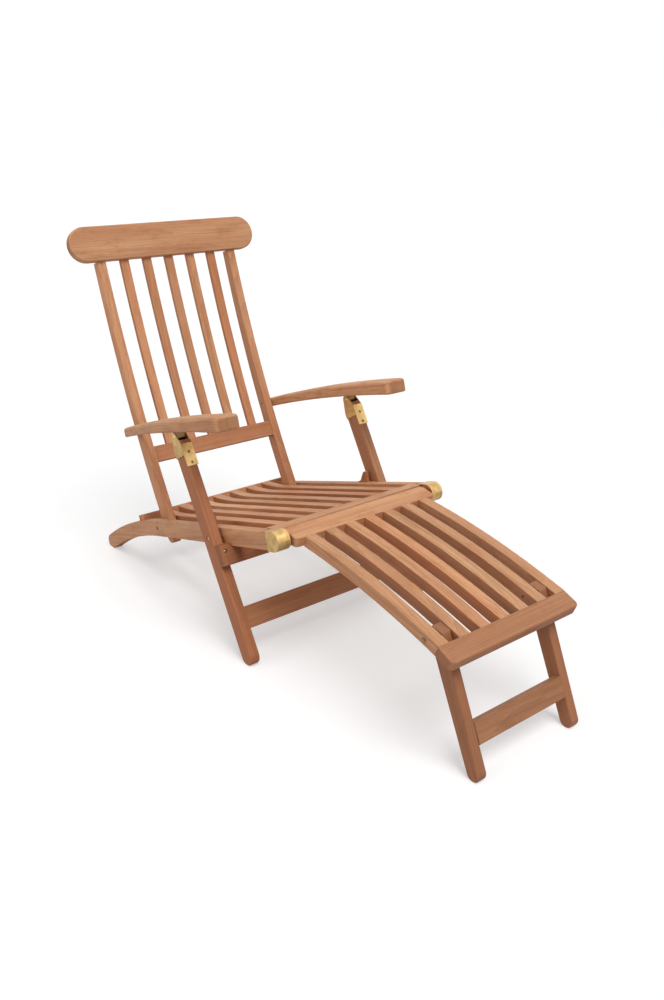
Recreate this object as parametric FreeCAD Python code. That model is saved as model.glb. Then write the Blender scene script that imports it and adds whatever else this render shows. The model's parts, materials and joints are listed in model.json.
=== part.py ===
import FreeCAD, Part
import math
import os

# Steamer deck chair in teak with brass fittings, in millimetres.
# X runs forward towards the footrest, Y across the chair and Z up from the floor.
# While the chair is drawn, x = 0 is the main pivot, where the front legs cross the seat rails.

# Seat rails
pivot_height = 278.0
seat_slope = 16.8
rail_depth = 44.0
rail_thickness = 27.0
nose_reach = 247.3
back_pivot_reach = 350.0
tail_bend_radius = 1100.0
tail_flat_cut = 6.0

# Seat bars, slats and ears
front_bar_width = 48.0
front_bar_thickness = 24.0
front_bar_nose_gap = 19.5
rear_bar_behind_pivot = 100.0
rear_bar_width = 25.0
rear_bar_height = 32.0
rear_bar_proud = 16.0
rear_bar_end_round = 11.0
seat_slat_count = 7
seat_slat_pitch = 58.0
seat_slat_width = 28.0
seat_slat_thickness = 21.5
seat_slat_stile_gap = 6.5
seat_dip_start = 38.0
ear_thickness = 10.0
ear_height = 29.5
ear_front_behind_pivot = 14.0
ear_top_behind_pivot = 24.0
ear_waist_behind_pivot = 42.0
ear_waist_height = 5.0
ear_base_behind_pivot = 61.0
ear_top_round = 4.5

# Front legs, their crossbar and their stretcher
leg_lean = 30.94
leg_depth = 45.0
leg_thickness = 26.0
rail_leg_gap = 6.0
hinge_reach = 260.0
leg_top_below_hinge = 12.0
leg_top_front_round = 3.0
leg_top_rear_round = 2.0
leg_shoulder_length = 20.0
leg_shoulder_depth = 6.0
leg_shoulder_round = 10.0
foot_flat_cut = 1.0
leg_edge_round = 3.0
crossbar_reach = 77.0
crossbar_notch = 7.0
crossbar_thickness = 24.0
crossbar_end_round = 8.0
crossbar_rear_round = 2.0
crossbar_screw_reach = 42.0
stretcher_reach = 210.0
stretcher_height = 54.0
stretcher_thickness = 21.0
stretcher_inset = 5.0

# Back frame
back_recline = 23.7
back_length = 841.0
back_bow_radius = 3475.0
stile_depth_low = 38.0
stile_depth_high = 28.0
stile_thickness = 24.5
stile_rail_gap = 3.0
stile_tip_length = 50.0
headrest_height = 94.7
headrest_thickness = 24.0
headrest_half_width = 290.0
headrest_proud = 8.0
headrest_edge_round = 4.0
headrest_tenon_length = 45.0
headrest_tenon_thickness = 8.0
lower_rail_reach = 200.0
lower_rail_height = 45.0
lower_rail_thickness = 20.0
lower_rail_inset = 3.0
back_slat_count = 5
back_slat_width = 24.5
back_slat_thickness = 12.0
back_slat_inset_low = 9.0
back_slat_inset_high = 2.0

# Arms
arm_rear_thickness = 26.0
arm_front_thickness = 36.0
arm_bow_radius = 4500.0
arm_slope = 15.6
arm_rise_over_hinge = 13.6
arm_front_reach = 226.0
arm_stile_gap = 2.0
arm_bolt_reach = 274.0
arm_rear_overhang = 21.0
arm_rear_width = 34.0
arm_rear_round = 16.0
arm_front_width = 65.0
arm_wide_length = 300.0
arm_side_round = 300.0
arm_front_round = 13.0
arm_top_round = 9.0
arm_bottom_round = 5.0

# Brass hinges between the legs and the arms
bracket_thickness = 2.0
web_length = 57.0
web_below_hinge = 22.0
cheek_length = 50.0
cheek_shoulder = 33.0
cheek_radius = 12.3
lug_radius = 8.5
lug_side_gap = 0.6
lug_tang_length = 18.0
web_screw_spacing = 27.0
web_screw_end = 8.0

# Footrest
footrest_drop = 9.9
footrest_length = 436.5
footrest_bow_radius = 2200.0
footrest_top = 16.0
footrest_rail_depth = 28.0
footrest_member_width = 28.5
footrest_slat_count = 5
footrest_pitch = 57.4
footrest_crossbar_width = 50.4
footrest_crossbar_ahead = 34.7
footrest_crossbar_thickness = 25.0
footrest_crossbar_gap = 5.0
end_board_width = 46.0
end_board_thickness = 25.0
end_board_turn = 6.0
end_board_overhang = 1.5
end_board_top_round = 5.0
end_board_bottom_round = 1.0
footrest_corner_round = 12.0

# Footrest legs
foot_leg_top_width = 40.5
foot_leg_foot_width = 34.0
foot_leg_thickness = 24.0
foot_leg_lean = 24.6
foot_leg_side_gap = 2.3
foot_pivot_depth = 12.0
foot_leg_top_rise = 2.0
foot_stretcher_reach = 211.0
foot_stretcher_height = 48.0
foot_stretcher_thickness = 20.0
foot_stretcher_inset = 2.0

# Brass caps, pins, bolts, washers and screws
cap_thickness = 2.0
cap_length = 25.0
cap_inner_overhang = 5.0
bolt_radius = 4.0
bolt_head_radius = 5.5
bolt_head_height = 1.8
head_ring_width = 1.0
head_sink = 2.4
cross_reach_share = 0.5
cross_width_share = 0.1
cross_floor_share = 0.4
arm_bolt_radius = 3.0
arm_bolt_drift = 3.4
arm_bolt_depth = 20.0
footrest_pin_radius = 5.0
footrest_pin_seat = 30.0
footrest_pin_end = 1.0
hinge_pin_radius = 3.5
hinge_pin_head_radius = 6.0
hinge_pin_head_height = 1.5
screw_radius = 2.0
screw_head_radius = 3.8
screw_head_height = 1.2
screw_length = 18.0
washer_radius = 10.0

# Clearances, joinery and eased edges
running_fit = 0.08
running_gap = 0.3
stop_gap = 0.4
tenon_length = 12.0
tenon_shoulder = 5.0
slat_housing = 10.0
edge_round = 1.8
short_edge_share = 0.125
near_zero = 0.001
overshoot = 1.0

# Places across the chair, from the middle outwards
stile_inner = seat_slat_pitch * (seat_slat_count - 1) / 2 + seat_slat_width / 2 + seat_slat_stile_gap
stile_outer = stile_inner + stile_thickness
rail_inner = stile_outer + stile_rail_gap
rail_outer = rail_inner + rail_thickness
leg_inner = rail_outer + rail_leg_gap
leg_outer = leg_inner + leg_thickness
leg_middle = (leg_inner + leg_outer) / 2
arm_inner = stile_outer + arm_stile_gap
footrest_crossbar_end = rail_inner - cap_inner_overhang - footrest_crossbar_gap
foot_rail_y = footrest_pitch * (footrest_slat_count + 1) / 2
foot_rail_outer = foot_rail_y + footrest_member_width / 2
foot_rail_inner = foot_rail_outer - footrest_member_width
foot_leg_outer = foot_rail_inner - foot_leg_side_gap
foot_leg_inner = foot_leg_outer - foot_leg_thickness
foot_slat_outer = foot_rail_outer - footrest_pitch
foot_slat_inner = foot_slat_outer - footrest_member_width

# Half sizes that are used often
half_rail = rail_depth / 2
half_leg = leg_depth / 2
half_foot_leg = foot_leg_top_width / 2
beyond = 4 * (nose_reach + back_pivot_reach)

side_way = FreeCAD.Vector(0, 1, 0)


class Frame:
    """A flat frame of the side view: u runs along a piece and v is a quarter turn from it."""

    def __init__(self, origin, degrees):
        self.origin = origin
        self.degrees = degrees
        turn = math.radians(degrees)
        self.along = FreeCAD.Vector(math.cos(turn), 0, math.sin(turn))
        self.square = FreeCAD.Vector(-math.sin(turn), 0, math.cos(turn))

    def at(self, u, v, y=0.0):
        return self.origin + self.along * u + self.square * v + side_way * y

    def read(self, point):
        step = point - self.origin
        return step.dot(self.along), step.dot(self.square)

    def moved(self, u, v, turn=0.0):
        return Frame(self.at(u, v), self.degrees + turn)


def closed_wire(start, steps):
    """A closed wire from a start point: a step of one point is a line, of two points an arc."""
    edges = []
    here = start
    for step in steps:
        there = step[-1]
        if len(step) == 2:
            edges.append(Part.Arc(here, step[0], there).toShape())
        else:
            edges.append(Part.makeLine(here, there))
        here = there
    return Part.Wire(edges)


def rounded_wire(corners, place):
    """A closed wire through (u, v, radius) corners; place turns a flat point into space."""
    arcs = []
    for index, (u, v, radius) in enumerate(corners):
        last = corners[index - 1]
        following = corners[(index + 1) % len(corners)]
        here = FreeCAD.Vector(u, v, 0)
        back_way = (FreeCAD.Vector(last[0], last[1], 0) - here).normalize()
        on_way = (FreeCAD.Vector(following[0], following[1], 0) - here).normalize()
        half_angle = back_way.getAngle(on_way) / 2
        trim = radius / math.tan(half_angle)
        inward = (back_way + on_way).normalize() * (radius / math.sin(half_angle) - radius)
        points = [here + back_way * trim, here + inward, here + on_way * trim]
        arcs.append([place(point.x, point.y) for point in points])
    edges = []
    for index, (start, middle, end) in enumerate(arcs):
        if start.distanceToPoint(end) > near_zero:
            edges.append(Part.Arc(start, middle, end).toShape())
        following = arcs[(index + 1) % len(arcs)][0]
        if end.distanceToPoint(following) > near_zero:
            edges.append(Part.makeLine(end, following))
    return Part.Wire(edges)


def plank(wire, y_low, y_high):
    """A plank whose side view is a wire drawn at y = 0, from y_low to y_high."""
    solid = Part.Face(wire).extrude(side_way * (y_high - y_low))
    solid.translate(side_way * y_low)
    return solid


def block(frame, us, vs, ys):
    """A plain block between two values of u, of v and of y."""
    corners = [(us[0], vs[0], 0), (us[1], vs[0], 0), (us[1], vs[1], 0), (us[0], vs[1], 0)]
    return plank(rounded_wire(corners, frame.at), ys[0], ys[1])


def board(frame, us, vs, half_width, rear_round, front_round):
    """A board across the chair, with its corners rounded when seen along v."""
    corners = [
        (us[0], -half_width, rear_round),
        (us[1], -half_width, front_round),
        (us[1], half_width, front_round),
        (us[0], half_width, rear_round),
    ]
    wire = rounded_wire(corners, lambda u, y: frame.at(u, vs[0], y))
    return Part.Face(wire).extrude(frame.square * (vs[1] - vs[0]))


def eased(solid, way=side_way, radius=edge_round):
    """The solid with the long edges of its two faces square to a direction rounded."""
    chosen = []
    for edge in solid.Edges:
        middle = (edge.FirstParameter + edge.LastParameter) / 2
        if abs(edge.tangentAt(middle).dot(way)) < near_zero:
            chosen.append(edge)
    longest = max(edge.Length for edge in chosen)
    return solid.makeFillet(radius, [edge for edge in chosen if edge.Length > longest * short_edge_share])


def eased_bar(solid, radius=edge_round):
    """The solid with its long edges across the chair rounded."""
    longest = max(edge.Length for edge in solid.Edges)
    return solid.makeFillet(radius, [edge for edge in solid.Edges if edge.Length > longest / 2])


def tenoned_bar(frame, us, vs, half_width):
    """A bar between two uprights with a tenon at each end, and the tenons' solid."""
    body = eased_bar(block(frame, us, vs, (-half_width, half_width)))
    tenon = block(
        frame,
        (us[0] + tenon_shoulder, us[1] - tenon_shoulder),
        (vs[0] + tenon_shoulder, vs[1] - tenon_shoulder),
        (-half_width - tenon_length, half_width + tenon_length),
    )
    return body.fuse(tenon).removeSplitter(), tenon


def rod(centre, y_low, y_high, radius):
    """A round rod across the chair, through a point of the side view."""
    start = FreeCAD.Vector(centre.x, y_low, centre.z)
    return Part.makeCylinder(radius, y_high - y_low, start, side_way)


def ring(centre, y_low, y_high, hole_radius):
    return rod(centre, y_low, y_high, washer_radius).cut(rod(centre, y_low, y_high, hole_radius))


def domed_head(point, way, radius, height):
    """A low domed head with a cross recess, seated on a face at a point."""
    sphere_radius = (radius * radius + height * height) / (2 * height)
    dome = Part.makeSphere(sphere_radius, point - way * (sphere_radius - height))
    dome = dome.common(Part.makeCylinder(radius, height, point, way))
    first = side_way if abs(way.dot(side_way)) < 0.5 else FreeCAD.Vector(1, 0, 0)
    for arm_way in (first, way.cross(first)):
        wide_way = way.cross(arm_way)
        reach = arm_way * radius * cross_reach_share
        half_wide = wide_way * radius * cross_width_share
        middle = point + way * height * cross_floor_share
        slot = Part.makePolygon([
            middle - reach - half_wide,
            middle + reach - half_wide,
            middle + reach + half_wide,
            middle - reach + half_wide,
            middle - reach - half_wide,
        ])
        dome = dome.cut(Part.Face(slot).extrude(way * height))
    return dome


def head_recess(point, way, radius):
    """The round recess that sinks a head below a face; way looks out of the face."""
    return Part.makeCylinder(radius + head_ring_width, head_sink + overshoot, point - way * head_sink, way)


def wood_screw(point, way):
    """A screw whose head sits on a face; way looks out of the face."""
    shank = Part.makeCylinder(screw_radius, screw_length, point, way * -1)
    top = domed_head(point, way, screw_head_radius, screw_head_height)
    return shank.fuse(top).removeSplitter()


def through_bolt(centre, y_low, y_high, radius, head_radius, head_height):
    """A bolt across the chair with a head at its outer end and a domed nut at its inner end."""
    shank = rod(centre, y_low, y_high, radius)
    outer = domed_head(centre + side_way * y_high, side_way, head_radius, head_height)
    inner = domed_head(centre + side_way * y_low, side_way * -1, head_radius, head_height)
    return shank.fuse([outer, inner]).removeSplitter()


def mirrored(solid):
    return solid.mirror(FreeCAD.Vector(0, 0, 0), side_way)


def both(solid):
    """The solids of the left side and their twins on the right."""
    found = []
    for each in solid.Solids:
        found.append(each)
        found.append(mirrored(each))
    return Part.makeCompound(found)


def bow(u, length, radius):
    """Height of an arc over its chord, at a distance u from the chord's start."""
    rise = math.sqrt(radius ** 2 - (u - length / 2) ** 2)
    return rise - math.sqrt(radius ** 2 - length ** 2 / 4)


def bow_turn(u, length, radius):
    """How far the arc is turned from its chord there, in degrees."""
    return math.degrees(math.asin((length / 2 - u) / radius))


# The side view's frames: u runs forward along the seat and the footrest, and up the legs and back
seat = Frame(FreeCAD.Vector(0, 0, pivot_height), seat_slope)
leg = Frame(seat.origin, 90 + leg_lean)
nose = seat.at(nose_reach, 0)
back_pivot = seat.at(-back_pivot_reach, 0)
back = Frame(back_pivot, 90 + back_recline)
hinge = leg.at(hinge_reach, 0)
arm = Frame(hinge, arm_slope)
rest = Frame(nose, -footrest_drop)

# Seat: the rails bend down to the floor behind the back pivot
bend_centre = seat.at(-back_pivot_reach, -tail_bend_radius)
tail_height = half_rail - tail_flat_cut
tail_angle = math.degrees(math.acos((tail_height - bend_centre.z) / tail_bend_radius))
floor_block = Part.makeBox(
    2 * beyond, 2 * beyond, beyond, FreeCAD.Vector(-beyond, -beyond, -beyond),
)


def on_tail(degrees, offset):
    """A point of the rail's bent tail, by the angle from upright about the bend's centre."""
    turn = math.radians(degrees)
    outward = FreeCAD.Vector(-math.sin(turn), 0, math.cos(turn))
    return bend_centre + outward * (tail_bend_radius + offset)


def rail_wire(half_depth, nose_only=0.0):
    """The seat rail's outline, or its front part from a distance behind the nose."""
    top_front = seat.at(nose_reach, half_depth)
    tip = seat.at(nose_reach + half_depth, 0)
    bottom_front = seat.at(nose_reach, -half_depth)
    if nose_only:
        start = seat.at(nose_reach - nose_only, half_depth)
        below = seat.at(nose_reach - nose_only, -half_depth)
        return closed_wire(start, [(top_front,), (tip, bottom_front), (below,), (start,)])
    start = seat.at(-back_pivot_reach, half_depth)
    middle = (seat_slope + tail_angle) / 2
    tail_turn = math.radians(tail_angle)
    tail_tip = on_tail(tail_angle, 0) - FreeCAD.Vector(
        math.cos(tail_turn) * half_depth, 0, math.sin(tail_turn) * half_depth,
    )
    return closed_wire(start, [
        (top_front,),
        (tip, bottom_front),
        (seat.at(-back_pivot_reach, -half_depth),),
        (on_tail(middle, -half_depth), on_tail(tail_angle, -half_depth)),
        (tail_tip, on_tail(tail_angle, half_depth)),
        (on_tail(middle, half_depth), start),
    ])


front_bar_front = nose_reach - front_bar_nose_gap
front_bar_rear = front_bar_front - front_bar_width
rear_bar_angle = seat_slope + math.degrees(rear_bar_behind_pivot / tail_bend_radius)
rear_bar_frame = Frame(on_tail(rear_bar_angle, half_rail), rear_bar_angle)


def make_front_bar():
    return tenoned_bar(
        seat, (front_bar_rear, front_bar_front),
        (half_rail - front_bar_thickness, half_rail), rail_inner,
    )


def make_rear_bar():
    half = rear_bar_width / 2
    return board(
        rear_bar_frame, (-half, half), (rear_bar_proud - rear_bar_height, rear_bar_proud),
        rail_outer, rear_bar_end_round, rear_bar_end_round,
    )


def make_seat_slat(y):
    """A slat level with the rails' tops, which levels out to meet the rear bar's top."""
    dip_start = -back_pivot_reach + seat_dip_start
    end = rear_bar_frame.at(rear_bar_width / 2, rear_bar_proud)
    end_u, end_v = seat.read(end)
    run = dip_start - end_u
    rise = end_v - half_rail
    radius = (run * run + rise * rise) / (2 * rise)
    sweep = math.asin(run / radius)

    def dip(angle, depth):
        reach = radius + depth
        u = dip_start - math.sin(angle) * reach
        return seat.at(u, half_rail + radius - math.cos(angle) * reach)

    start = seat.at(front_bar_rear, half_rail)
    wire = closed_wire(start, [
        (dip(0, 0),),
        (dip(sweep / 2, 0), dip(sweep, 0)),
        (dip(sweep, seat_slat_thickness),),
        (dip(sweep / 2, seat_slat_thickness), dip(0, seat_slat_thickness)),
        (seat.at(front_bar_rear, half_rail - seat_slat_thickness),),
        (start,),
    ])
    return eased(plank(wire, y - seat_slat_width / 2, y + seat_slat_width / 2))


def make_ear():
    """A small block on the rail beside the leg, with a flared foot behind."""
    top = half_rail + ear_height
    corners = [
        (-ear_base_behind_pivot, half_rail, 0),
        (-ear_front_behind_pivot, half_rail, 0),
        (-ear_front_behind_pivot, top, ear_top_round),
        (-ear_top_behind_pivot, top, ear_top_round),
        (-ear_waist_behind_pivot, half_rail + ear_waist_height, ear_top_round),
    ]
    return plank(rounded_wire(corners, seat.at), rail_outer - ear_thickness, rail_outer)


def make_nose_cap():
    """A brass shoe: an outer plate and a wide band wrapped round the nose."""
    shell = plank(
        rail_wire(half_rail + cap_thickness, cap_length),
        rail_inner - cap_inner_overhang, rail_outer + cap_thickness,
    )
    return shell.cut(plank(rail_wire(half_rail, 2 * cap_length), 0, rail_outer))


# Front legs: the crossbar is notched for the rails, which rest on it
crossbar_front = half_leg + crossbar_thickness
leg_foot = (half_leg - foot_flat_cut - pivot_height) / math.cos(math.radians(leg_lean))


def make_front_leg():
    """A leg with a round foot, its lowest point cut flat, and a shoulder behind the hinge."""
    top = hinge_reach - leg_top_below_hinge
    corners = [
        (leg_foot - half_leg, -half_leg, half_leg),
        (top, -half_leg, leg_top_front_round),
        (top, half_leg - leg_shoulder_depth, leg_top_rear_round),
        (top - leg_shoulder_length, half_leg, leg_shoulder_round),
        (leg_foot - half_leg, half_leg, half_leg),
    ]
    board = plank(rounded_wire(corners, leg.at), leg_inner, leg_outer)
    return eased(board, side_way, leg_edge_round).cut(floor_block)


def make_leg_crossbar():
    corners = [
        (-crossbar_front, -leg_outer, crossbar_end_round),
        (-half_leg, -leg_outer, crossbar_rear_round),
        (-half_leg, leg_outer, crossbar_rear_round),
        (-crossbar_front, leg_outer, crossbar_end_round),
    ]
    wire = rounded_wire(corners, lambda v, y: leg.at(-crossbar_reach, v, y))
    solid = eased(Part.Face(wire).extrude(leg.along * crossbar_reach), leg.along)
    over_rail = (-half_rail - stop_gap, beyond)
    notch = block(seat, (-beyond, beyond), over_rail, (rail_inner - stop_gap, rail_outer + stop_gap))
    over_bar = (crossbar_notch - half_rail, beyond)
    top = block(seat, (-beyond, beyond), over_bar, (-beyond, beyond))
    return solid.cut([top, notch, mirrored(notch)])


def make_leg_stretcher():
    front = -half_leg + stretcher_inset
    half = stretcher_height / 2
    return tenoned_bar(
        leg, (-stretcher_reach - half, -stretcher_reach + half),
        (front, front + stretcher_thickness), leg_inner,
    )


# Brass hinge: a folded bracket on the leg and a lug let into the arm
web_top = hinge_reach - web_below_hinge
web_bottom = web_top - web_length
web_screws = (web_bottom + web_screw_end, web_bottom + web_screw_end + web_screw_spacing)


def make_hinge_bracket():
    outer = leg_outer + bracket_thickness
    inner = leg_inner - bracket_thickness
    web_face = -half_leg - bracket_thickness
    slant = cheek_radius * math.sqrt(0.5)
    start = leg.at(hinge_reach - cheek_length, half_leg)
    cheek = closed_wire(start, [
        (leg.at(hinge_reach - cheek_shoulder, half_leg),),
        (leg.at(hinge_reach, cheek_radius),),
        (leg.at(hinge_reach + cheek_radius, 0), leg.at(hinge_reach + slant, -slant)),
        (leg.at(web_top, web_face),),
        (leg.at(hinge_reach - cheek_length, web_face),),
        (start,),
    ])
    bracket = block(leg, (web_bottom, web_top), (web_face, -half_leg), (inner, outer))
    bracket = bracket.fuse([plank(cheek, inner, leg_inner), plank(cheek, leg_outer, outer)])
    bracket = bracket.removeSplitter()
    return bracket.cut(rod(hinge, inner, outer, hinge_pin_radius))


def make_hinge_lug():
    low = leg_inner + lug_side_gap
    high = leg_outer - lug_side_gap
    tang_top = arm_rise_over_hinge + lug_tang_length
    tongue = block(arm, (-lug_radius, lug_radius), (0, tang_top), (low, high))
    lug = tongue.fuse(rod(hinge, low, high, lug_radius)).removeSplitter()
    return lug.cut(rod(hinge, low, high, hinge_pin_radius + running_fit))


# Back frame: stiles, headrest, lower rail and slats follow one bowed line
def stile_depth(u):
    return stile_depth_low + (stile_depth_high - stile_depth_low) * max(u, 0) / back_length


def on_back(u):
    """The frame on the stiles' centre line, at a distance up the back's chord."""
    sag = bow(u, back_length, back_bow_radius)
    return back.moved(u, sag, bow_turn(u, back_length, back_bow_radius))


def back_front(u, inset):
    """A point behind the stiles' front face."""
    return on_back(u).at(0, inset - stile_depth(u) / 2)


headrest_base = back_length - headrest_height
headrest_frame = on_back(headrest_base)
headrest_front = -stile_depth(headrest_base) / 2 - headrest_proud
lower_rail_frame = on_back(lower_rail_reach)
lower_rail_front = lower_rail_inset - stile_depth(lower_rail_reach) / 2
arm_bolt = on_back(arm_bolt_reach).origin


def make_stile():
    root = on_back(0)
    half = stile_depth_low / 2
    middle = headrest_base / 2
    tip_centre = half - stile_tip_length
    start = root.at(0, -half)
    wire = closed_wire(start, [
        (back_front(middle, 0), back_front(headrest_base, 0)),
        (back_front(headrest_base, stile_depth(headrest_base)),),
        (back_front(middle, stile_depth(middle)), root.at(0, half)),
        (root.at(tip_centre, half),),
        (root.at(-stile_tip_length, 0), root.at(tip_centre, -half)),
        (start,),
    ])
    body = eased(plank(wire, stile_inner, stile_outer))
    shared = headrest_front + headrest_thickness - stile_depth(headrest_base) / 2
    tenon_front = (shared - headrest_tenon_thickness) / 2
    tenon = block(
        headrest_frame, (-overshoot, headrest_tenon_length),
        (tenon_front, tenon_front + headrest_tenon_thickness),
        (stile_inner + tenon_shoulder, stile_outer - tenon_shoulder),
    )
    return body.fuse(tenon).removeSplitter()


def make_headrest():
    solid = board(
        headrest_frame, (0, headrest_height),
        (headrest_front, headrest_front + headrest_thickness),
        headrest_half_width, headrest_height / 2, headrest_height / 2,
    )
    return eased(solid, headrest_frame.square, headrest_edge_round)


def make_lower_rail():
    half = lower_rail_height / 2
    return tenoned_bar(
        lower_rail_frame, (-half, half),
        (lower_rail_front, lower_rail_front + lower_rail_thickness), stile_inner,
    )


def make_back_slat(y):
    """A thin bowed slat that starts deeper behind the stiles' front faces than it ends."""
    u_low = lower_rail_reach + lower_rail_height / 2 - slat_housing
    u_high = headrest_base + slat_housing
    u_middle = (u_low + u_high) / 2
    inset_middle = (back_slat_inset_low + back_slat_inset_high) / 2
    start = back_front(u_low, back_slat_inset_low)
    wire = closed_wire(start, [
        (back_front(u_middle, inset_middle), back_front(u_high, back_slat_inset_high)),
        (back_front(u_high, back_slat_inset_high + back_slat_thickness),),
        (
            back_front(u_middle, inset_middle + back_slat_thickness),
            back_front(u_low, back_slat_inset_low + back_slat_thickness),
        ),
        (start,),
    ])
    return plank(wire, y - back_slat_width / 2, y + back_slat_width / 2)


# Arms: a gently bowed board, narrow behind and wide in front
arm_rear = arm.read(arm_bolt)[0] - arm_rear_overhang


def on_arm(u, rise):
    """A point over the arm's underside, square to the bow."""
    turn = math.asin(u / arm_bow_radius)
    reach = arm_bow_radius + rise
    return arm.at(math.sin(turn) * reach, arm_rise_over_hinge - arm_bow_radius + math.cos(turn) * reach)


def make_arm():
    """An arm that grows thicker and wider towards its front."""
    middle = (arm_rear + arm_front_reach) / 2
    middle_thickness = (arm_rear_thickness + arm_front_thickness) / 2
    start = on_arm(arm_rear, 0)
    side = closed_wire(start, [
        (on_arm(middle, 0), on_arm(arm_front_reach, 0)),
        (on_arm(arm_front_reach, arm_front_thickness),),
        (on_arm(middle, middle_thickness), on_arm(arm_rear, arm_rear_thickness)),
        (start,),
    ])
    corners = [
        (arm_rear, arm_inner, arm_rear_round),
        (arm_front_reach, arm_inner, arm_front_round),
        (arm_front_reach, arm_inner + arm_front_width, arm_front_round),
        (arm_front_reach - arm_wide_length, arm_inner + arm_front_width, arm_side_round),
        (arm_rear, arm_inner + arm_rear_width, arm_rear_round),
    ]
    plan = Part.Face(rounded_wire(corners, lambda u, y: arm.at(u, -beyond / 2, y)))
    solid = plank(side, arm_inner - overshoot, arm_inner + arm_front_width + overshoot)
    solid = solid.common(plan.extrude(arm.square * beyond))
    middle_level = arm_rise_over_hinge + arm_rear_thickness / 2
    for radius, top in ((arm_top_round, True), (arm_bottom_round, False)):
        for face in solid.Faces:
            bowed = isinstance(face.Surface, Part.Cylinder) and face.Surface.Radius > arm_bow_radius / 2
            if bowed and (arm.read(face.CenterOfMass)[1] > middle_level) == top:
                edges = face.Edges
        solid = solid.makeFillet(radius, edges)
    bolt_hole = rod(
        arm_bolt, arm_inner - overshoot, arm_inner + arm_bolt_depth + overshoot,
        arm_bolt_radius + arm_bolt_drift,
    )
    return solid.cut(bolt_hole)


# Footrest: rails and slats follow one bowed line between the crossbar and the end board
def on_rest(u):
    """The frame on top of the footrest, at a distance along its chord from the crossbar."""
    rise = footrest_top + bow(u, footrest_length, footrest_bow_radius)
    turn = bow_turn(u, footrest_length, footrest_bow_radius)
    return rest.moved(footrest_crossbar_ahead + u, rise, turn)


end_frame = on_rest(footrest_length).moved(0, 0, -end_board_turn)
foot_axis = 90 + foot_leg_lean
end_corner = end_frame.at(0, -end_board_thickness)


def foot_leg_pivot():
    """The pivot that brings the leg's front face up against the end board's lower edge."""
    level = footrest_top - foot_pivot_depth
    facing = Frame(rest.at(0, level), foot_axis)
    distance = facing.read(end_corner)[1] + half_foot_leg + stop_gap
    return rest.at(distance / rest.along.dot(facing.square), level)


foot = Frame(foot_leg_pivot(), foot_axis)
foot_radius = foot_leg_foot_width / 2
foot_reach = (foot.origin.z - foot_radius + foot_flat_cut) / math.cos(math.radians(foot_leg_lean))


def make_footrest_crossbar():
    rear = footrest_crossbar_ahead - footrest_crossbar_width
    solid = board(
        rest, (rear, footrest_crossbar_ahead),
        (footrest_top - footrest_crossbar_thickness, footrest_top),
        footrest_crossbar_end, footrest_corner_round, footrest_corner_round,
    )
    return eased(solid, rest.square)


def make_end_board():
    """A board whose front and ends are well rounded on top and slightly below."""
    solid = board(
        end_frame, (0, end_board_width), (-end_board_thickness, 0),
        foot_rail_outer + end_board_overhang, 0, footrest_corner_round,
    )
    for radius, level in ((end_board_top_round, 0), (end_board_bottom_round, -end_board_thickness)):
        edges = []
        for edge in solid.Edges:
            u, v = end_frame.read(edge.CenterOfMass)
            if u > radius and abs(v - level) < near_zero:
                edges.append(edge)
        solid = solid.makeFillet(radius, edges)
    return solid


bow_centre = rest.at(
    footrest_crossbar_ahead + footrest_length / 2,
    footrest_top - math.sqrt(footrest_bow_radius ** 2 - footrest_length ** 2 / 4),
)


def footrest_underside(point, way):
    """Where a line from the top of the footrest meets the underside of its rails."""
    step = point - bow_centre
    inward = step.dot(way)
    reach = footrest_bow_radius - footrest_rail_depth
    return point + way * (-inward - math.sqrt(inward * inward - step.dot(step) + reach * reach))


def footrest_tenons(y):
    """The tenons of one rail or slat: into the crossbar and into the end board."""
    half = footrest_member_width / 2 - tenon_shoulder
    rear = block(
        rest, (footrest_crossbar_ahead - tenon_length, footrest_crossbar_ahead + tenon_length),
        (footrest_top - footrest_crossbar_thickness + tenon_shoulder, footrest_top - tenon_shoulder),
        (y - half, y + half),
    )
    front = block(
        end_frame, (-tenon_length, tenon_length),
        (tenon_shoulder - end_board_thickness, -tenon_shoulder), (y - half, y + half),
    )
    return rear, front


def make_footrest_member(y):
    """A rail or slat of the footrest, cut to meet the crossbar and the end board."""
    first = on_rest(0).origin
    middle = on_rest(footrest_length / 2)
    last = end_frame.origin
    wire = closed_wire(first, [
        (middle.origin, last),
        (footrest_underside(last, end_frame.square * -1),),
        (middle.at(0, -footrest_rail_depth), footrest_underside(first, rest.square * -1)),
        (first,),
    ])
    half = footrest_member_width / 2
    body = eased(plank(wire, y - half, y + half))
    return body.fuse(footrest_tenons(y)).removeSplitter()


def make_foot_leg():
    """A tapered leg with round ends, cut flat at the floor and level with the footrest's top."""
    taper = math.asin((half_foot_leg - foot_radius) / foot_reach)
    low = -math.sin(taper)
    out = math.cos(taper)
    start = foot.at(half_foot_leg * low, half_foot_leg * out)
    wire = closed_wire(start, [
        (foot.at(foot_radius * low - foot_reach, foot_radius * out),),
        (
            foot.at(-foot_reach - foot_radius, 0),
            foot.at(foot_radius * low - foot_reach, -foot_radius * out),
        ),
        (foot.at(half_foot_leg * low, -half_foot_leg * out),),
        (foot.at(half_foot_leg, 0), start),
    ])
    over_top = (footrest_top + foot_leg_top_rise, beyond)
    top = block(rest, (0, beyond), over_top, (foot_leg_inner - overshoot, foot_leg_outer + overshoot))
    solid = eased(plank(wire, foot_leg_inner, foot_leg_outer), side_way, leg_edge_round)
    return solid.cut([floor_block, top])


def make_foot_stretcher():
    front = foot_stretcher_inset - half_foot_leg
    half = foot_stretcher_height / 2
    return tenoned_bar(
        foot, (-foot_stretcher_reach - half, -foot_stretcher_reach + half),
        (front, front + foot_stretcher_thickness), foot_leg_inner,
    )


pieces = {}


def add_pair(name, solid):
    pieces[name + "_left"] = solid
    pieces[name + "_right"] = mirrored(solid)


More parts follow.
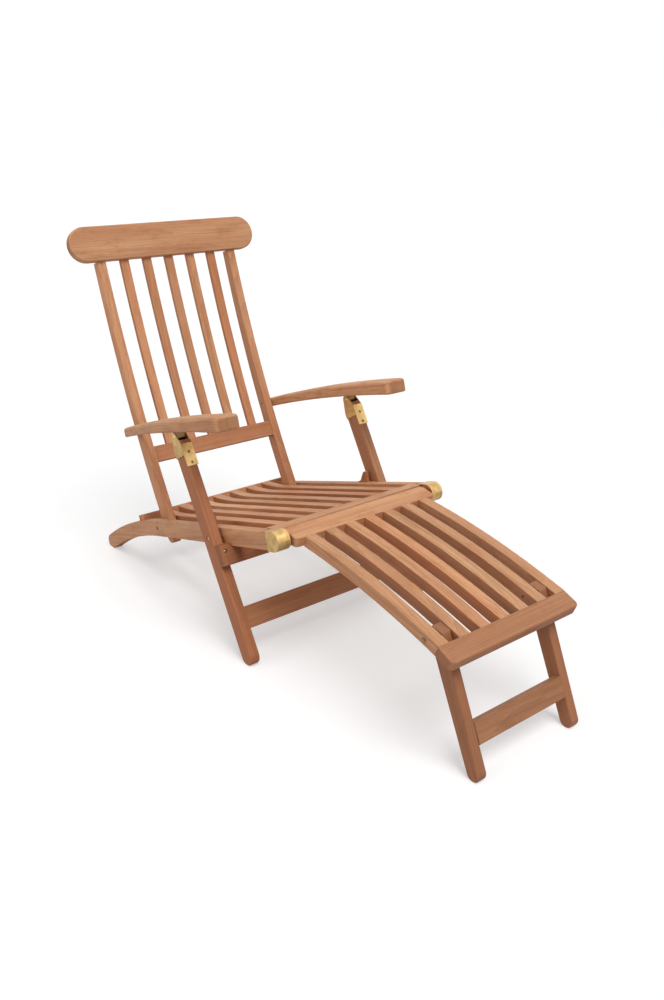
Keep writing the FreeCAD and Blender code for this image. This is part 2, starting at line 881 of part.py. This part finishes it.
def add_seat():
    rail = eased(plank(rail_wire(half_rail), rail_inner, rail_outer)).cut(floor_block)
    front_bar, tenon = make_front_bar()
    rail = rail.cut(tenon)
    rail = rail.cut(rod(seat.origin, rail_inner, rail_outer, bolt_radius + running_fit))
    rail = rail.cut(rod(back_pivot, rail_inner, rail_outer, bolt_radius + running_fit))
    rail = rail.cut(rod(nose, rail_inner, rail_outer, footrest_pin_radius + running_fit))
    rail = rail.cut(head_recess(back_pivot + side_way * rail_outer, side_way, bolt_head_radius))
    screw_seat = seat.at((front_bar_rear + front_bar_front) / 2, half_rail, rail_inner + tenon_length / 2)
    bar_screw = wood_screw(screw_seat, seat.square)
    rail = rail.cut(bar_screw)
    front_bar = front_bar.cut(both(bar_screw))
    add_pair("seat_rail", rail)
    pieces["seat_front_bar"] = front_bar
    pieces["seat_front_bar_screws"] = both(bar_screw)
    rear_bar = make_rear_bar().cut(both(rail))
    for index in range(seat_slat_count):
        slat = make_seat_slat((index - (seat_slat_count - 1) / 2) * seat_slat_pitch)
        rear_bar = rear_bar.cut(slat)
        pieces["seat_slat_" + str(index + 1)] = slat
    pieces["seat_rear_bar"] = rear_bar
    add_pair("rail_ear", make_ear())
    add_pair("nose_cap", make_nose_cap())


def add_legs():
    front_leg = make_front_leg()
    crossbar = make_leg_crossbar()
    stretcher, tenon = make_leg_stretcher()
    bolt = through_bolt(
        seat.origin, rail_inner - running_gap, leg_outer - head_sink,
        bolt_radius, bolt_head_radius, bolt_head_height,
    )
    recess = head_recess(seat.origin + side_way * leg_outer, side_way, bolt_head_radius)
    spacer = ring(seat.origin, rail_outer + running_gap, leg_inner, bolt_radius)
    forward = leg.square * -1
    screw_face = leg.at(-crossbar_screw_reach, -crossbar_front, leg_middle)
    bar_screw = wood_screw(screw_face - forward * head_sink, forward)
    screw_recess = head_recess(screw_face, forward, screw_head_radius)
    hinge_screws = []
    for u in web_screws:
        face = leg.at(u, -half_leg - bracket_thickness, leg_middle)
        hinge_screws.append(wood_screw(face, forward))
    hinge_screws = Part.makeCompound(hinge_screws)
    pin = through_bolt(
        hinge, leg_inner - bracket_thickness, leg_outer + bracket_thickness,
        hinge_pin_radius, hinge_pin_head_radius, hinge_pin_head_height,
    )
    front_leg = front_leg.cut([tenon, bolt, recess, bar_screw, hinge_screws])
    add_pair("front_leg", front_leg)
    pieces["leg_crossbar"] = crossbar.cut(both(screw_recess)).cut(both(bar_screw))
    pieces["leg_crossbar_screws"] = both(bar_screw)
    pieces["leg_stretcher"] = stretcher
    add_pair("hinge_bracket", make_hinge_bracket().cut(hinge_screws))
    pieces["hinge_screws"] = both(hinge_screws)
    pieces["hinge_pins"] = both(pin)
    pieces["leg_pivot_bolts"] = both(bolt)
    pieces["leg_pivot_spacers"] = both(spacer)


def add_arms():
    lug = make_hinge_lug()
    add_pair("arm", make_arm().cut(lug))
    add_pair("hinge_lug", lug)


def add_back():
    stile = make_stile()
    lower_rail, tenon = make_lower_rail()
    headrest = make_headrest()
    slats = []
    for index in range(back_slat_count):
        spacing = (stile_inner + stile_outer) / (back_slat_count + 1)
        slats.append(make_back_slat((index - (back_slat_count - 1) / 2) * spacing))
    pivot_bolt = through_bolt(
        back_pivot, stile_inner, rail_outer - head_sink + running_gap,
        bolt_radius, bolt_head_radius, bolt_head_height,
    )
    inward = side_way * -1
    link_seat = stile_inner + head_sink
    shank = rod(arm_bolt, link_seat, arm_inner + arm_bolt_depth, arm_bolt_radius)
    top = domed_head(arm_bolt + side_way * link_seat, inward, bolt_head_radius, bolt_head_height)
    arm_link = shank.fuse(top).removeSplitter()
    recess = head_recess(arm_bolt + side_way * stile_inner, inward, bolt_head_radius)
    stile = stile.cut([tenon, pivot_bolt, recess, arm_link])
    add_pair("back_stile", stile)
    pieces["headrest"] = headrest.cut(both(stile)).cut(slats)
    pieces["back_lower_rail"] = lower_rail.cut(slats)
    for index, slat in enumerate(slats):
        pieces["back_slat_" + str(index + 1)] = slat
    pieces["back_pivot_bolts"] = both(pivot_bolt)
    pieces["arm_bolts"] = both(arm_link)
    low_washer = ring(back_pivot, stile_outer, rail_inner - running_gap, bolt_radius)
    high_washer = ring(arm_bolt, stile_outer, arm_inner - running_gap, arm_bolt_radius)
    pieces["back_washers"] = both(Part.makeCompound([low_washer, high_washer]))


def add_footrest():
    crossbar = make_footrest_crossbar()
    end_board = make_end_board()
    rail = make_footrest_member(foot_rail_y)
    slats = []
    for index in range(footrest_slat_count):
        y = (index - (footrest_slat_count - 1) / 2) * footrest_pitch
        slats.append(make_footrest_member(y))
    pin = rod(
        nose, footrest_crossbar_end - footrest_pin_seat, rail_outer - footrest_pin_end,
        footrest_pin_radius,
    )
    bolt = through_bolt(
        foot.origin, foot_slat_inner, foot_rail_outer - head_sink,
        bolt_radius, bolt_head_radius, bolt_head_height,
    )
    recess = head_recess(foot.origin + side_way * foot_rail_outer, side_way, bolt_head_radius)
    tenons = []
    for index in range(footrest_slat_count + 2):
        tenons.append(footrest_tenons((index - (footrest_slat_count + 1) / 2) * footrest_pitch))
    add_pair("footrest_rail", rail.cut([bolt, recess]))
    slats[0] = slats[0].cut(mirrored(bolt))
    slats[-1] = slats[-1].cut(bolt)
    for index, slat in enumerate(slats):
        pieces["footrest_slat_" + str(index + 1)] = slat
    crossbar = crossbar.cut([rear for rear, front in tenons])
    pieces["footrest_crossbar"] = crossbar.cut(both(pin))
    pieces["footrest_end_board"] = end_board.cut([front for rear, front in tenons])
    pieces["footrest_pivot_pins"] = both(pin)
    pieces["footrest_leg_bolts"] = both(bolt)
    pin_washer = ring(nose, footrest_crossbar_end, rail_inner - running_gap, footrest_pin_radius)
    outer_washer = ring(foot.origin, foot_leg_outer + running_gap, foot_rail_inner, bolt_radius)
    inner_washer = ring(foot.origin, foot_slat_outer, foot_leg_inner - running_gap, bolt_radius)
    pieces["footrest_washers"] = both(Part.makeCompound([pin_washer, outer_washer, inner_washer]))


def add_footrest_legs():
    stretcher, tenon = make_foot_stretcher()
    foot_leg = make_foot_leg().cut(tenon)
    hole = rod(foot.origin, foot_leg_inner, foot_leg_outer, bolt_radius + running_fit)
    add_pair("footrest_leg", foot_leg.cut(hole))
    pieces["footrest_leg_stretcher"] = stretcher


def write_parts():
    """Moves the origin to the middle of the footprint on the floor and writes every piece."""
    box = Part.makeCompound(list(pieces.values())).optimalBoundingBox(False, False)
    shift = FreeCAD.Vector(-(box.XMin + box.XMax) / 2, 0, 0)
    os.makedirs("parts", exist_ok=True)
    for name, shape in pieces.items():
        shape.translate(shift)
        shape.exportStep("parts/" + name + ".step")
    return shift


add_seat()
add_legs()
add_arms()
add_back()
add_footrest()
add_footrest_legs()
shift = write_parts()

for name, pivot in (
    ("leg pivot", seat.origin),
    ("back pivot", back_pivot),
    ("arm hinge", hinge),
    ("arm bolt", arm_bolt),
    ("footrest pivot", nose),
    ("footrest leg pivot", foot.origin),
):
    print(name, round(pivot.x + shift.x, 3), round(pivot.z, 3))
print("pieces", len(pieces), "shift", round(shift.x, 3))
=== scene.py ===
import bpy
import json
import math
import numpy as np
import random
from mathutils import Matrix, Vector

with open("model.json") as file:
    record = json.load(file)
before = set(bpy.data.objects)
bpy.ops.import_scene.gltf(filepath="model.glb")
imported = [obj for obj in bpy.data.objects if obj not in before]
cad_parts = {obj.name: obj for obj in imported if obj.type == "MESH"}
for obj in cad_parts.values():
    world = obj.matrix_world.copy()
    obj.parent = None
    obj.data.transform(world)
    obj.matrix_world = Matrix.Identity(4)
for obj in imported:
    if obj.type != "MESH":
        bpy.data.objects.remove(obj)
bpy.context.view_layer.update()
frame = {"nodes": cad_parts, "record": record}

# Camera: fitted to the straight edges of the chair in the photograph
camera_place = Vector((1.69354, -1.2596, 1.2084))
camera_aim = Vector((-0.7291, 0.5660, -0.3848))
camera_lens = 32.49
camera_sensor = 36.0

# Light and floor
backdrop_strength = 1.0
world_fill = 0.32
key_strength = 2.30
key_softness = math.radians(38)
key_way = Vector((-0.45, 0.05, -0.89))
side_strength = 1.0
side_softness = math.radians(60)
side_way = Vector((0.15, 0.97, -0.20))
floor_size = 400.0
floor_whiteness = 0.60
floor_roughness = 0.9
floor_glow = 0.42

# Teak, colours as linear values
teak_light = (0.745, 0.425, 0.225)
teak_middle = (0.605, 0.295, 0.145)
teak_red_and_shade_tint = (0.510, 0.165, 0.062)
teak_dark = (0.300, 0.120, 0.052)
teak_end = (0.270, 0.110, 0.050)
teak_blotch = (0.430, 0.155, 0.055)
teak_shine = 0.35

# Rates at which the grain's figures change, per metre along the board and across it twice
broad_rates = (1.6, 16.0, 16.0)
blotch_rates = (14.0, 45.0, 45.0)
streak_rates = (1.2, 110.0, 110.0)
wander_rates = (2.2, 22.0, 22.0)
fibre_rate_along = 7.0
fibre_width = 0.0016
pore_rate_along = 90.0
pore_width = 0.0005
coarse_detail = 1.0
middle_detail = 2.0
fine_detail = 3.0
plain_noise = 0.5
rough_noise = 0.6
noise_middle = (0.5, 0.5, 0.5)

# Growth rings about a heart beside the board, pushed about by the wander
ring_spacing = 0.006
rings_in_two_pi = 20
ring_scale = 2 * math.pi / rings_in_two_pi / ring_spacing
ring_distortion = 1.2
ring_detail = 2.0
ring_detail_scale = 0.4
wander_push = 0.022
heart_distance = 0.07
heart_nearest = 0.6
heart_farthest = 1.6
start_along_spread = 9

# Noise levels between which each figure sets in, and how strongly it shows
broad_levels = (0.34, 0.62)
blotch_levels = (0.50, 0.68)
blotch_strength = 0.45
ring_strength = 0.32
streak_levels = (0.50, 0.74)
streak_strength = 0.42
fibre_levels = (0.25, 0.75)
fibre_shades = (0.86, 1.12)
pore_levels = (0.60, 0.70)
pore_strength = 0.45
end_levels = (0.75, 0.97)
end_strength = 0.55

# Gloss and relief of the grain
relief_levels = (0.2, 0.8)
fibre_roughness = (0.46, 0.60)
end_rough_levels = (0.7, 1.0)
end_roughness = 0.2
fibre_relief = 0.6
pore_depth_tint = 0.35
pore_relief = 0.4
grain_bump = 0.35
grain_bump_distance = 0.0006

# Painted shade: faces turned away from the sky are tinted redder and darker, most of all the sides of
# the slats
painted_shade_levels = (0.2, 0.7)
slat_painted_shade = 0.50
board_painted_shade = 0.15

# Painted highlight along the edges, lighter where the surface turns quickly
edge_highlight_samples = 4
edge_highlight_width = 0.0016
edge_highlight_likeness = (0.80, 0.99)
edge_highlight_lightness = 1.22

# Boards made darker or redder than the rest: name, tone and redness
board_tones = (
    ("front_leg", 0.75, 0.60),
    ("leg_crossbar", 0.58, 0.95),
    ("leg_stretcher", 0.74, 0.55),
    ("footrest_leg", 0.72, 0.55),
    ("footrest_end_board", 0.86, 0.35),
    ("back_lower_rail", 0.84, 0.40),
    ("seat_rail", 0.97, 0.28),
    ("seat_rear_bar", 0.85, 0.45),
    ("rail_ear", 0.80, 0.50),
)
plain_tone = 1.0
plain_redness = 0.2
tone_spread = 0.10
redness_spread = 0.20

# Brass
brass_bright = (0.810, 0.545, 0.235)
brass_dull = (0.560, 0.350, 0.120)
# Darker brass: the bolts' and wood screws' own dark bronze, and painted shade on the hinge lugs and
# hinge screws
brass_dark_and_shaded_bright = (0.300, 0.190, 0.085)
brass_dark_and_shaded_dull = (0.120, 0.070, 0.032)
tarnish_scale = 55.0
tarnish_detail = 5.0
tarnish_levels = (0.3, 0.6)
brass_roughness = (0.24, 0.46)
scratch_scale = 900.0
scratch_detail = 2.0
scratch_stretch = (0.06, 1.0, 1.0)
scratch_bump = 0.12
scratch_bump_distance = 0.0003
dark_and_shaded_brass_nodes = (
    "hinge_lug_left", "hinge_lug_right", "back_pivot_bolts", "footrest_leg_bolts",
    "seat_front_bar_screws", "leg_crossbar_screws", "hinge_screws",
)

# A board that runs mostly across the chair takes its side from the vertical
mostly_across = 0.7

draw = random.Random(7)


def link(tree, source, target):
    tree.links.new(source, target)


def new_node(tree, kind, **settings):
    node = tree.nodes.new(kind)
    for name, value in settings.items():
        setattr(node, name, value)
    return node


def set_inputs(node, **values):
    """Plain values of a node's inputs; an underscore in a name stands for a space."""
    for name, value in values.items():
        node.inputs[name.replace("_", " ")].default_value = value


def map_range(tree, value, levels, results=(0.0, 1.0)):
    """A value moved from between two levels to between two results, and kept there."""
    node = new_node(tree, "ShaderNodeMapRange")
    link(tree, value, node.inputs["Value"])
    set_inputs(node, From_Min=levels[0], From_Max=levels[1], To_Min=results[0], To_Max=results[1])
    return node.outputs[0]


def add_object(name, data):
    item = bpy.data.objects.new(name, data)
    bpy.context.scene.collection.objects.link(item)
    return item


def new_material(name):
    material = bpy.data.materials.new(name)
    material.use_nodes = True
    return material, material.node_tree, material.node_tree.nodes["Principled BSDF"]


def long_axes(piece):
    """The piece's middle and its long direction with two directions square to it, from its faces."""
    mesh = piece.data
    centres = np.empty(len(mesh.polygons) * 3)
    areas = np.empty(len(mesh.polygons))
    mesh.polygons.foreach_get("center", centres)
    mesh.polygons.foreach_get("area", areas)
    centres = centres.reshape(-1, 3)
    middle = (centres * areas[:, None]).sum(0) / areas.sum()
    from_middle = centres - middle
    covariance = (from_middle * areas[:, None]).T @ from_middle
    vectors = np.linalg.eigh(covariance)[1]
    along = Vector(vectors[:, 2])
    if max(along, key=abs) < 0:
        along = -along
    side = Vector((0, 1, 0))
    if abs(along.dot(side)) > mostly_across:
        side = Vector((0, 0, 1))
    square = along.cross(side).normalized()
    side = square.cross(along)
    return Vector(middle), Matrix((along, side, square))


def make_grain_group():
    """Teak: growth rings about a far heart, fibres and pores, in metres with X along the grain."""
    tree = bpy.data.node_groups.new("teak_grain", "ShaderNodeTree")
    for name, kind in (
        ("Place", "NodeSocketVector"), ("Facing", "NodeSocketVector"),
        ("Tone", "NodeSocketFloat"), ("Redness", "NodeSocketFloat"),
        ("Upward", "NodeSocketFloat"), ("Shelter", "NodeSocketFloat"),
    ):
        tree.interface.new_socket(name, in_out="INPUT", socket_type=kind)
    for name, kind in (
        ("Color", "NodeSocketColor"), ("Roughness", "NodeSocketFloat"), ("Height", "NodeSocketFloat"),
    ):
        tree.interface.new_socket(name, in_out="OUTPUT", socket_type=kind)
    entry = new_node(tree, "NodeGroupInput")
    leave = new_node(tree, "NodeGroupOutput")

    def put(value, socket):
        if isinstance(value, bpy.types.NodeSocket):
            link(tree, value, socket)
        elif isinstance(value, tuple):
            socket.default_value = (*value, 1.0)
        else:
            socket.default_value = value

    def noise(rates, detail, roughness=plain_noise):
        stretched = new_node(tree, "ShaderNodeVectorMath", operation="MULTIPLY")
        link(tree, entry.outputs["Place"], stretched.inputs[0])
        stretched.inputs[1].default_value = rates
        node = new_node(tree, "ShaderNodeTexNoise")
        set_inputs(node, Scale=1.0, Detail=detail, Roughness=roughness)
        link(tree, stretched.outputs[0], node.inputs["Vector"])
        return node

    def blend(kind, factor, first, second):
        """Two colours mixed; the mix node's colour sockets come after its other kinds."""
        node = new_node(tree, "ShaderNodeMix", data_type="RGBA", blend_type=kind)
        put(factor, node.inputs[0])
        put(first, node.inputs[6])
        put(second, node.inputs[7])
        return node.outputs[2]

    def reckon(operation, first, second):
        node = new_node(tree, "ShaderNodeMath", operation=operation)
        put(first, node.inputs[0])
        put(second, node.inputs[1])
        return node.outputs[0]

    # The rings wander slowly along the board
    wander = noise(wander_rates, middle_detail)
    centred = new_node(tree, "ShaderNodeVectorMath", operation="SUBTRACT")
    link(tree, wander.outputs["Color"], centred.inputs[0])
    centred.inputs[1].default_value = noise_middle
    pushed = new_node(tree, "ShaderNodeVectorMath", operation="MULTIPLY_ADD")
    link(tree, centred.outputs[0], pushed.inputs[0])
    pushed.inputs[1].default_value = (0.0, wander_push, wander_push)
    link(tree, entry.outputs["Place"], pushed.inputs[2])
    rings = new_node(
        tree, "ShaderNodeTexWave", wave_type="RINGS", rings_direction="X", wave_profile="SAW",
    )
    set_inputs(
        rings, Scale=ring_scale, Distortion=ring_distortion, Detail=ring_detail,
        Detail_Scale=ring_detail_scale,
    )
    link(tree, pushed.outputs[0], rings.inputs["Vector"])

    fibre_rates = (fibre_rate_along, 1 / fibre_width, 1 / fibre_width)
    pore_rates = (pore_rate_along, 1 / pore_width, 1 / pore_width)
    broad = noise(broad_rates, middle_detail).outputs[0]
    blotches = noise(blotch_rates, fine_detail, rough_noise).outputs[0]
    fibres = noise(fibre_rates, fine_detail, rough_noise).outputs[0]
    pores = noise(pore_rates, coarse_detail).outputs[0]
    streaks = noise(streak_rates, middle_detail).outputs[0]

    warm = blend("MIX", map_range(tree, broad, broad_levels), teak_middle, teak_light)
    # Painted shade: faces turned away from the sky are mixed towards the red tint, on top of the
    # board's own redness
    turned_away = map_range(tree, entry.outputs["Upward"], painted_shade_levels, (1.0, 0.0))
    painted_shade_amount = reckon("MULTIPLY", turned_away, entry.outputs["Shelter"])
    redness = reckon("ADD", entry.outputs["Redness"], painted_shade_amount)
    reddened_and_painted_shade = blend("MIX", redness, warm, teak_red_and_shade_tint)
    blotch_tint = map_range(tree, blotches, blotch_levels, (0.0, blotch_strength))
    blotched = blend("MIX", blotch_tint, reddened_and_painted_shade, teak_blotch)
    ring_tint = map_range(tree, rings.outputs[1], (0.0, 1.0), (0.0, ring_strength))
    ringed = blend("MIX", ring_tint, blotched, teak_dark)
    streak_tint = map_range(tree, streaks, streak_levels, (0.0, streak_strength))
    streaked = blend("MIX", streak_tint, ringed, teak_dark)
    fibred = blend("MULTIPLY", 1.0, streaked, map_range(tree, fibres, fibre_levels, fibre_shades))
    pore_tint = map_range(tree, pores, pore_levels, (0.0, pore_strength))
    pored = blend("MIX", pore_tint, fibred, teak_end)
    toned = blend("MULTIPLY", 1.0, pored, entry.outputs["Tone"])

    # The sawn ends are darker and duller
    split = new_node(tree, "ShaderNodeSeparateXYZ")
    link(tree, entry.outputs["Facing"], split.inputs[0])
    facing_end = reckon("ABSOLUTE", split.outputs[0], 0.0)
    end_tint = map_range(tree, facing_end, end_levels, (0.0, end_strength))
    link(tree, blend("MIX", end_tint, toned, teak_end), leave.inputs["Color"])
    rough = reckon(
        "ADD", map_range(tree, fibres, relief_levels, fibre_roughness),
        map_range(tree, facing_end, end_rough_levels, (0.0, end_roughness)),
    )
    link(tree, rough, leave.inputs["Roughness"])
    relief = reckon(
        "ADD", map_range(tree, fibres, relief_levels, (0.0, fibre_relief)),
        map_range(tree, pore_tint, (0.0, pore_depth_tint), (pore_relief, 0.0)),
    )
    link(tree, relief, leave.inputs["Height"])
    return tree


def painted_edge_highlight(tree, colour):
    """The colour made lighter at edges as a painted highlight, and the softened normal that finds
    them.
    """
    softened = new_node(tree, "ShaderNodeBevel", samples=edge_highlight_samples)
    set_inputs(softened, Radius=edge_highlight_width)
    flat = new_node(tree, "ShaderNodeNewGeometry")
    likeness = new_node(tree, "ShaderNodeVectorMath", operation="DOT_PRODUCT")
    link(tree, softened.outputs[0], likeness.inputs[0])
    link(tree, flat.outputs["Normal"], likeness.inputs[1])
    highlight_gain = map_range(tree, likeness.outputs["Value"], edge_highlight_likeness, (edge_highlight_lightness, 1.0))
    highlighted = new_node(tree, "ShaderNodeVectorMath", operation="SCALE")
    link(tree, colour, highlighted.inputs[0])
    link(tree, highlight_gain, highlighted.inputs["Scale"])
    return highlighted.outputs[0], softened.outputs[0]


def make_teak(piece, group):
    """One board's own teak: its grain runs along the board and starts at its own place in the tree."""
    middle, axes = long_axes(piece)
    material, tree, shader = new_material("teak_" + piece.name)
    place = new_node(tree, "ShaderNodeTexCoord")
    heart_turn = draw.uniform(0, 2 * math.pi)
    offset = Vector((
        draw.uniform(-start_along_spread, start_along_spread),
        math.cos(heart_turn) * heart_distance * draw.uniform(heart_nearest, heart_farthest),
        math.sin(heart_turn) * heart_distance * draw.uniform(heart_nearest, heart_farthest),
    ))
    turn = axes.to_euler()
    board = new_node(tree, "ShaderNodeMapping", vector_type="POINT")
    set_inputs(board, Rotation=turn, Location=offset - axes @ middle)
    link(tree, place.outputs["Object"], board.inputs["Vector"])
    facing = new_node(tree, "ShaderNodeMapping", vector_type="VECTOR")
    set_inputs(facing, Rotation=turn)
    link(tree, place.outputs["Normal"], facing.inputs["Vector"])
    upward = new_node(tree, "ShaderNodeSeparateXYZ")
    link(tree, place.outputs["Normal"], upward.inputs[0])

    tone, redness = plain_tone, plain_redness
    for start, kind_tone, kind_redness in board_tones:
        if piece.name.startswith(start):
            tone, redness = kind_tone, kind_redness
    grain = new_node(tree, "ShaderNodeGroup", node_tree=group)
    # The board's tone and redness, and how strongly faces turned from the sky get painted shade, most
    # on the slats
    set_inputs(
        grain, Tone=tone + draw.uniform(-tone_spread, tone_spread),
        Redness=redness + draw.uniform(-redness_spread, redness_spread),
        Shelter=slat_painted_shade if "slat" in piece.name else board_painted_shade,
    )
    link(tree, board.outputs[0], grain.inputs["Place"])
    link(tree, facing.outputs[0], grain.inputs["Facing"])
    link(tree, upward.outputs["Z"], grain.inputs["Upward"])
    # Edges lightened as a painted highlight
    colour, softened = painted_edge_highlight(tree, grain.outputs["Color"])
    bump = new_node(tree, "ShaderNodeBump")
    set_inputs(bump, Strength=grain_bump, Distance=grain_bump_distance)
    link(tree, grain.outputs["Height"], bump.inputs["Height"])
    link(tree, softened, bump.inputs["Normal"])
    set_inputs(shader, Specular_IOR_Level=teak_shine)
    link(tree, colour, shader.inputs["Base Color"])
    link(tree, grain.outputs["Roughness"], shader.inputs["Roughness"])
    link(tree, bump.outputs[0], shader.inputs["Normal"])
    return material


def make_brass(name, dull, bright):
    """Rolled brass with a soft polish: faint scratches and a little tarnish."""
    material, tree, shader = new_material(name)
    place = new_node(tree, "ShaderNodeTexCoord")
    cloud = new_node(tree, "ShaderNodeTexNoise")
    set_inputs(cloud, Scale=tarnish_scale, Detail=tarnish_detail)
    link(tree, place.outputs["Object"], cloud.inputs["Vector"])
    tint = new_node(tree, "ShaderNodeValToRGB")
    for element, level, colour in zip(tint.color_ramp.elements, tarnish_levels, (dull, bright)):
        element.position = level
        element.color = (*colour, 1)
    link(tree, cloud.outputs[0], tint.inputs[0])
    stretch = new_node(tree, "ShaderNodeMapping")
    set_inputs(stretch, Scale=scratch_stretch)
    link(tree, place.outputs["Object"], stretch.inputs["Vector"])
    scratches = new_node(tree, "ShaderNodeTexNoise")
    set_inputs(scratches, Scale=scratch_scale, Detail=scratch_detail)
    link(tree, stretch.outputs[0], scratches.inputs["Vector"])
    bump = new_node(tree, "ShaderNodeBump")
    set_inputs(bump, Strength=scratch_bump, Distance=scratch_bump_distance)
    link(tree, scratches.outputs[0], bump.inputs["Height"])
    set_inputs(shader, Metallic=1.0)
    link(tree, tint.outputs[0], shader.inputs["Base Color"])
    rough = map_range(tree, cloud.outputs[0], (0.0, 1.0), brass_roughness)
    link(tree, rough, shader.inputs["Roughness"])
    link(tree, bump.outputs[0], shader.inputs["Normal"])
    return material


def make_world():
    """A white backdrop for camera, glossy and transmission rays, and a dim fill for the others."""
    world = bpy.data.worlds.new("studio")
    bpy.context.scene.world = world
    world.use_nodes = True
    tree = world.node_tree
    background = tree.nodes["Background"]
    set_inputs(background, Color=(1, 1, 1, 1))
    rays = new_node(tree, "ShaderNodeLightPath")
    seen = rays.outputs["Is Camera Ray"]
    for kind in ("Is Glossy Ray", "Is Transmission Ray"):
        either = new_node(tree, "ShaderNodeMath", operation="MAXIMUM")
        link(tree, seen, either.inputs[0])
        link(tree, rays.outputs[kind], either.inputs[1])
        seen = either.outputs[0]
    strength = map_range(tree, seen, (0.0, 1.0), (world_fill, backdrop_strength))
    link(tree, strength, background.inputs["Strength"])


def make_floor():
    """A plain pale floor that keeps the shadow and looks white where no shadow falls."""
    half = floor_size / 2
    corners = [(-half, -half, 0), (half, -half, 0), (half, half, 0), (-half, half, 0)]
    mesh = bpy.data.meshes.new("floor")
    mesh.from_pydata(corners, [], [(0, 1, 2, 3)])
    material, tree, shader = new_material("floor")
    set_inputs(
        shader, Base_Color=(floor_whiteness, floor_whiteness, floor_whiteness, 1),
        Roughness=floor_roughness, Specular_IOR_Level=0.0, Emission_Color=(1, 1, 1, 1),
    )
    rays = new_node(tree, "ShaderNodeLightPath")
    glow = new_node(tree, "ShaderNodeMath", operation="MULTIPLY")
    link(tree, rays.outputs["Is Camera Ray"], glow.inputs[0])
    glow.inputs[1].default_value = floor_glow
    link(tree, glow.outputs[0], shader.inputs["Emission Strength"])
    mesh.materials.append(material)
    add_object("floor", mesh)


def make_far_light(name, strength, softness, way):
    data = bpy.data.lights.new(name, "SUN")
    data.energy = strength
    data.angle = softness
    add_object(name, data).rotation_euler = way.to_track_quat("-Z", "Y").to_euler()


def make_camera():
    data = bpy.data.cameras.new("camera")
    data.sensor_width = camera_sensor
    data.lens = camera_lens
    camera = add_object("camera", data)
    camera.location = camera_place
    camera.rotation_euler = camera_aim.to_track_quat("-Z", "Y").to_euler()
    bpy.context.scene.camera = camera


grain_group = make_grain_group()
brass = make_brass("brass", brass_dull, brass_bright)
# Darker brass: dark bronze on the bolts and wood screws, painted shade on the hinge lugs and hinge
# screws
dark_and_shaded_brass = make_brass("brass_worn", brass_dark_and_shaded_dull, brass_dark_and_shaded_bright)
slots = {part["node"]: part["material_slot"] for part in frame["record"]["subparts"]}
for name in sorted(frame["nodes"]):
    piece = frame["nodes"][name]
    if name in dark_and_shaded_brass_nodes:
        finish = dark_and_shaded_brass
    elif slots[name] == "brass":
        finish = brass
    else:
        finish = make_teak(piece, grain_group)
    piece.data.materials.clear()
    piece.data.materials.append(finish)

make_world()
make_floor()
make_far_light("key", key_strength, key_softness, key_way)
make_far_light("side", side_strength, side_softness, side_way)
make_camera()
bpy.context.scene.view_settings.view_transform = "Standard"
